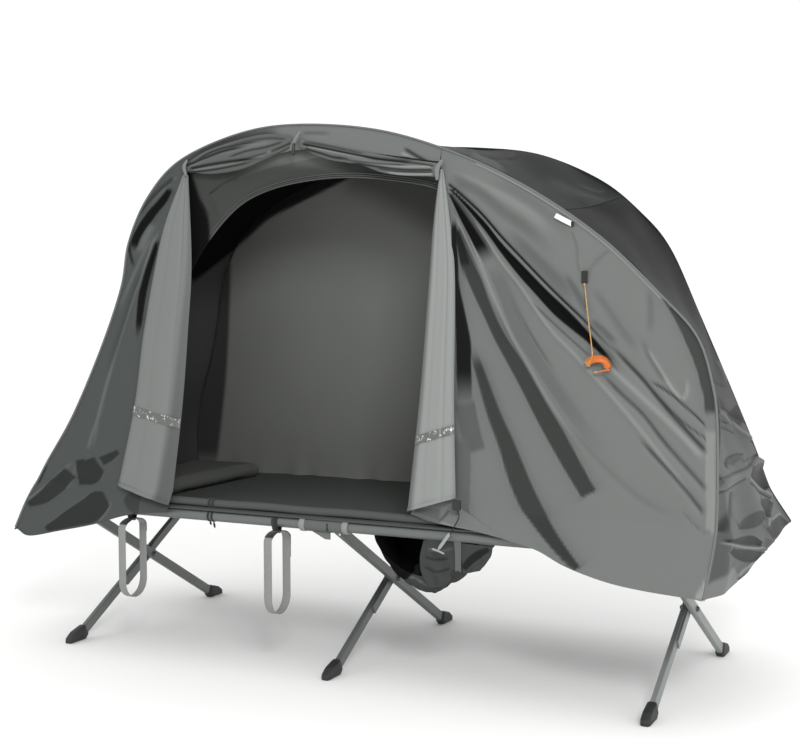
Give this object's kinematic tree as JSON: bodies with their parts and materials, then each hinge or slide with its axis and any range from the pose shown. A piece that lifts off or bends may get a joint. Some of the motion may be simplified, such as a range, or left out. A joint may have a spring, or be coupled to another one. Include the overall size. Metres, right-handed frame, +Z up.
{
  "type": "tent cot",
  "caption": "Tent on a folding camp cot: crossed-leg steel frame, cloth deck, inner tent with arched door and outer fly with curtains tied back.",
  "frame": {"origin": "on the ground under the middle of the cot", "axes": "+Z up, +X along the cot from the pillow end to the foot end, -Y is the side with the open door"},
  "size_m": [2.0674, 0.8389, 1.472],
  "materials": {
    "rails": "satin grey enamel on steel tube",
    "legs": "satin grey enamel on flat steel tube",
    "foot_caps": "moulded black, matte",
    "rail_sleeve": "moulded grey, satin",
    "deck_cloth": "tight dark grey woven polyester",
    "pillow_cloth": "dark grey woven polyester, softly filled",
    "fly_cloth": "grey coated polyester, slight sheen",
    "fly_lining": "lighter coated reverse side, slight sheen",
    "inner_cloth": "dark grey plain polyester",
    "poles": "black fibreglass rod",
    "webbing": "light grey woven webbing",
    "black_tape": "black woven tape",
    "guy_cord": "tan braided cord",
    "guy_wrap": "orange wound cord"
  },
  "bodies": {
    "root": {"far_rail_left": "rails", "far_rail_right": "rails", "far_rail_plate": "rails", "far_rail_sleeve": "rail_sleeve", "deck": "deck_cloth", "pillow": "pillow_cloth", "pole_near": "poles", "pole_far": "poles", "inner_left_end": "inner_cloth", "inner_roof": "inner_cloth", "inner_right_end": "inner_cloth", "inner_back": "inner_cloth", "inner_front_left": "inner_cloth", "inner_front_top": "inner_cloth", "inner_front_right": "inner_cloth", "fly_left_end": "fly_cloth", "fly_roof": "fly_cloth", "fly_right_end": "fly_cloth", "fly_front_left": "fly_cloth", "fly_front_top": "fly_cloth", "fly_front_right": "fly_cloth", "fly_back": "fly_cloth", "valance_roll": "fly_cloth", "curtain_left": "fly_lining", "curtain_right": "fly_lining", "guy_tab_left": "black_tape", "guy_tab_right": "black_tape", "guy_cord_left": "guy_cord", "guy_cord_right": "guy_cord", "guy_hank_left": "guy_wrap", "guy_hank_right": "guy_wrap"},
    "legs_a": {"leg_a_left": "legs", "foot_a_left": "foot_caps", "hub_plate_left": "legs", "leg_a_mid": "legs", "foot_a_mid": "foot_caps", "hub_plate_mid": "legs", "leg_a_right": "legs", "foot_a_right": "foot_caps", "hub_plate_right": "legs"},
    "legs_b": {"leg_b_left": "legs", "foot_b_left": "foot_caps", "leg_b_mid": "legs", "foot_b_mid": "foot_caps", "leg_b_right": "legs", "foot_b_right": "foot_caps"},
    "near_rail": {"near_rail_left": "rails", "near_rail_right": "rails", "near_rail_sleeve": "rail_sleeve", "near_rail_plate": "rails", "strap_loop_left": "webbing", "strap_loop_right": "webbing", "storage_pouch": "deck_cloth"}
  },
  "joints": [
    {"name": "leg_fold", "type": "hinge", "parent": "root", "child": "legs_a", "pos_m": [0, 0.352, 0.404], "axis": [1, 0, 0], "range_deg": [0, 48]},
    {"name": "leg_crossing", "type": "hinge", "parent": "legs_a", "child": "legs_b", "pos_m": [0, 0, 0.20026], "axis": [1, 0, 0], "range_deg": [-96, 0]},
    {"name": "near_rail_pivot", "type": "hinge", "parent": "legs_b", "child": "near_rail", "pos_m": [0, -0.352, 0.404], "axis": [1, 0, 0], "range_deg": [0, 48]}
  ],
  "couplings": [
    {"joint": "leg_crossing", "follows": "leg_fold", "ratio": -2},
    {"joint": "near_rail_pivot", "follows": "leg_fold", "ratio": 1}
  ]
}
